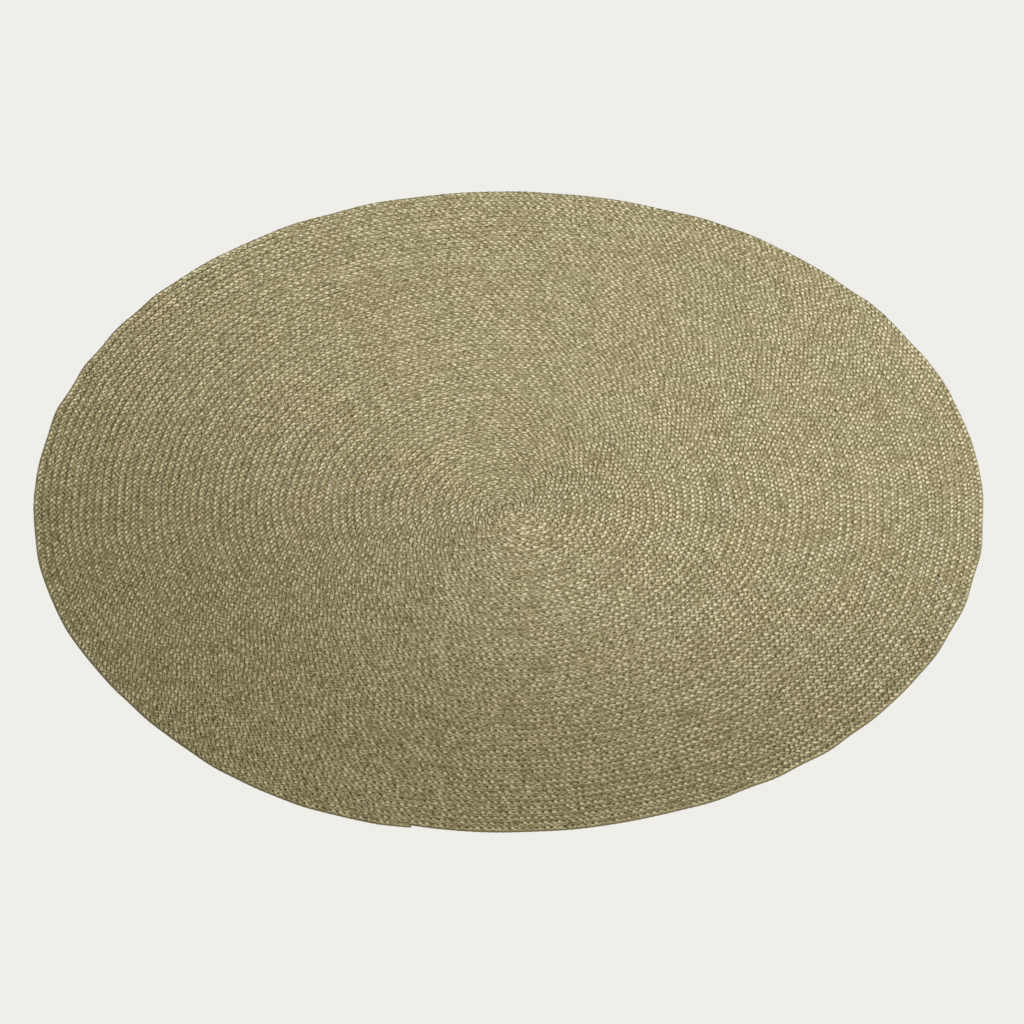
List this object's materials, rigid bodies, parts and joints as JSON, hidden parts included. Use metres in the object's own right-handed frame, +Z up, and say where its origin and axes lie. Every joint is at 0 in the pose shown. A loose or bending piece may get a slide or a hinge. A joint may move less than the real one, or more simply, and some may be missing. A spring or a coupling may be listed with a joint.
{
  "type": "round braided rug",
  "caption": "Round flat floor rug, one long flat jute plait wound into a spiral and sewn edge to edge, with a raised rib for each turn.",
  "frame": {"origin": "middle of the rug's outline, on its underside", "axes": "+Z up out of the rug's top face; the front, where the plait ends, is towards -Y; +X is to the right seen from the front"},
  "size_m": [1.9944, 1.9916, 0.01],
  "materials": {
    "jute_yarn": "dry, matt olive-brown jute yarn in a flat three-strand plait, with paler and darker strands and loose fibres"
  },
  "bodies": {
    "root": {"braided_rug": "jute_yarn"}
  },
  "joints": []
}
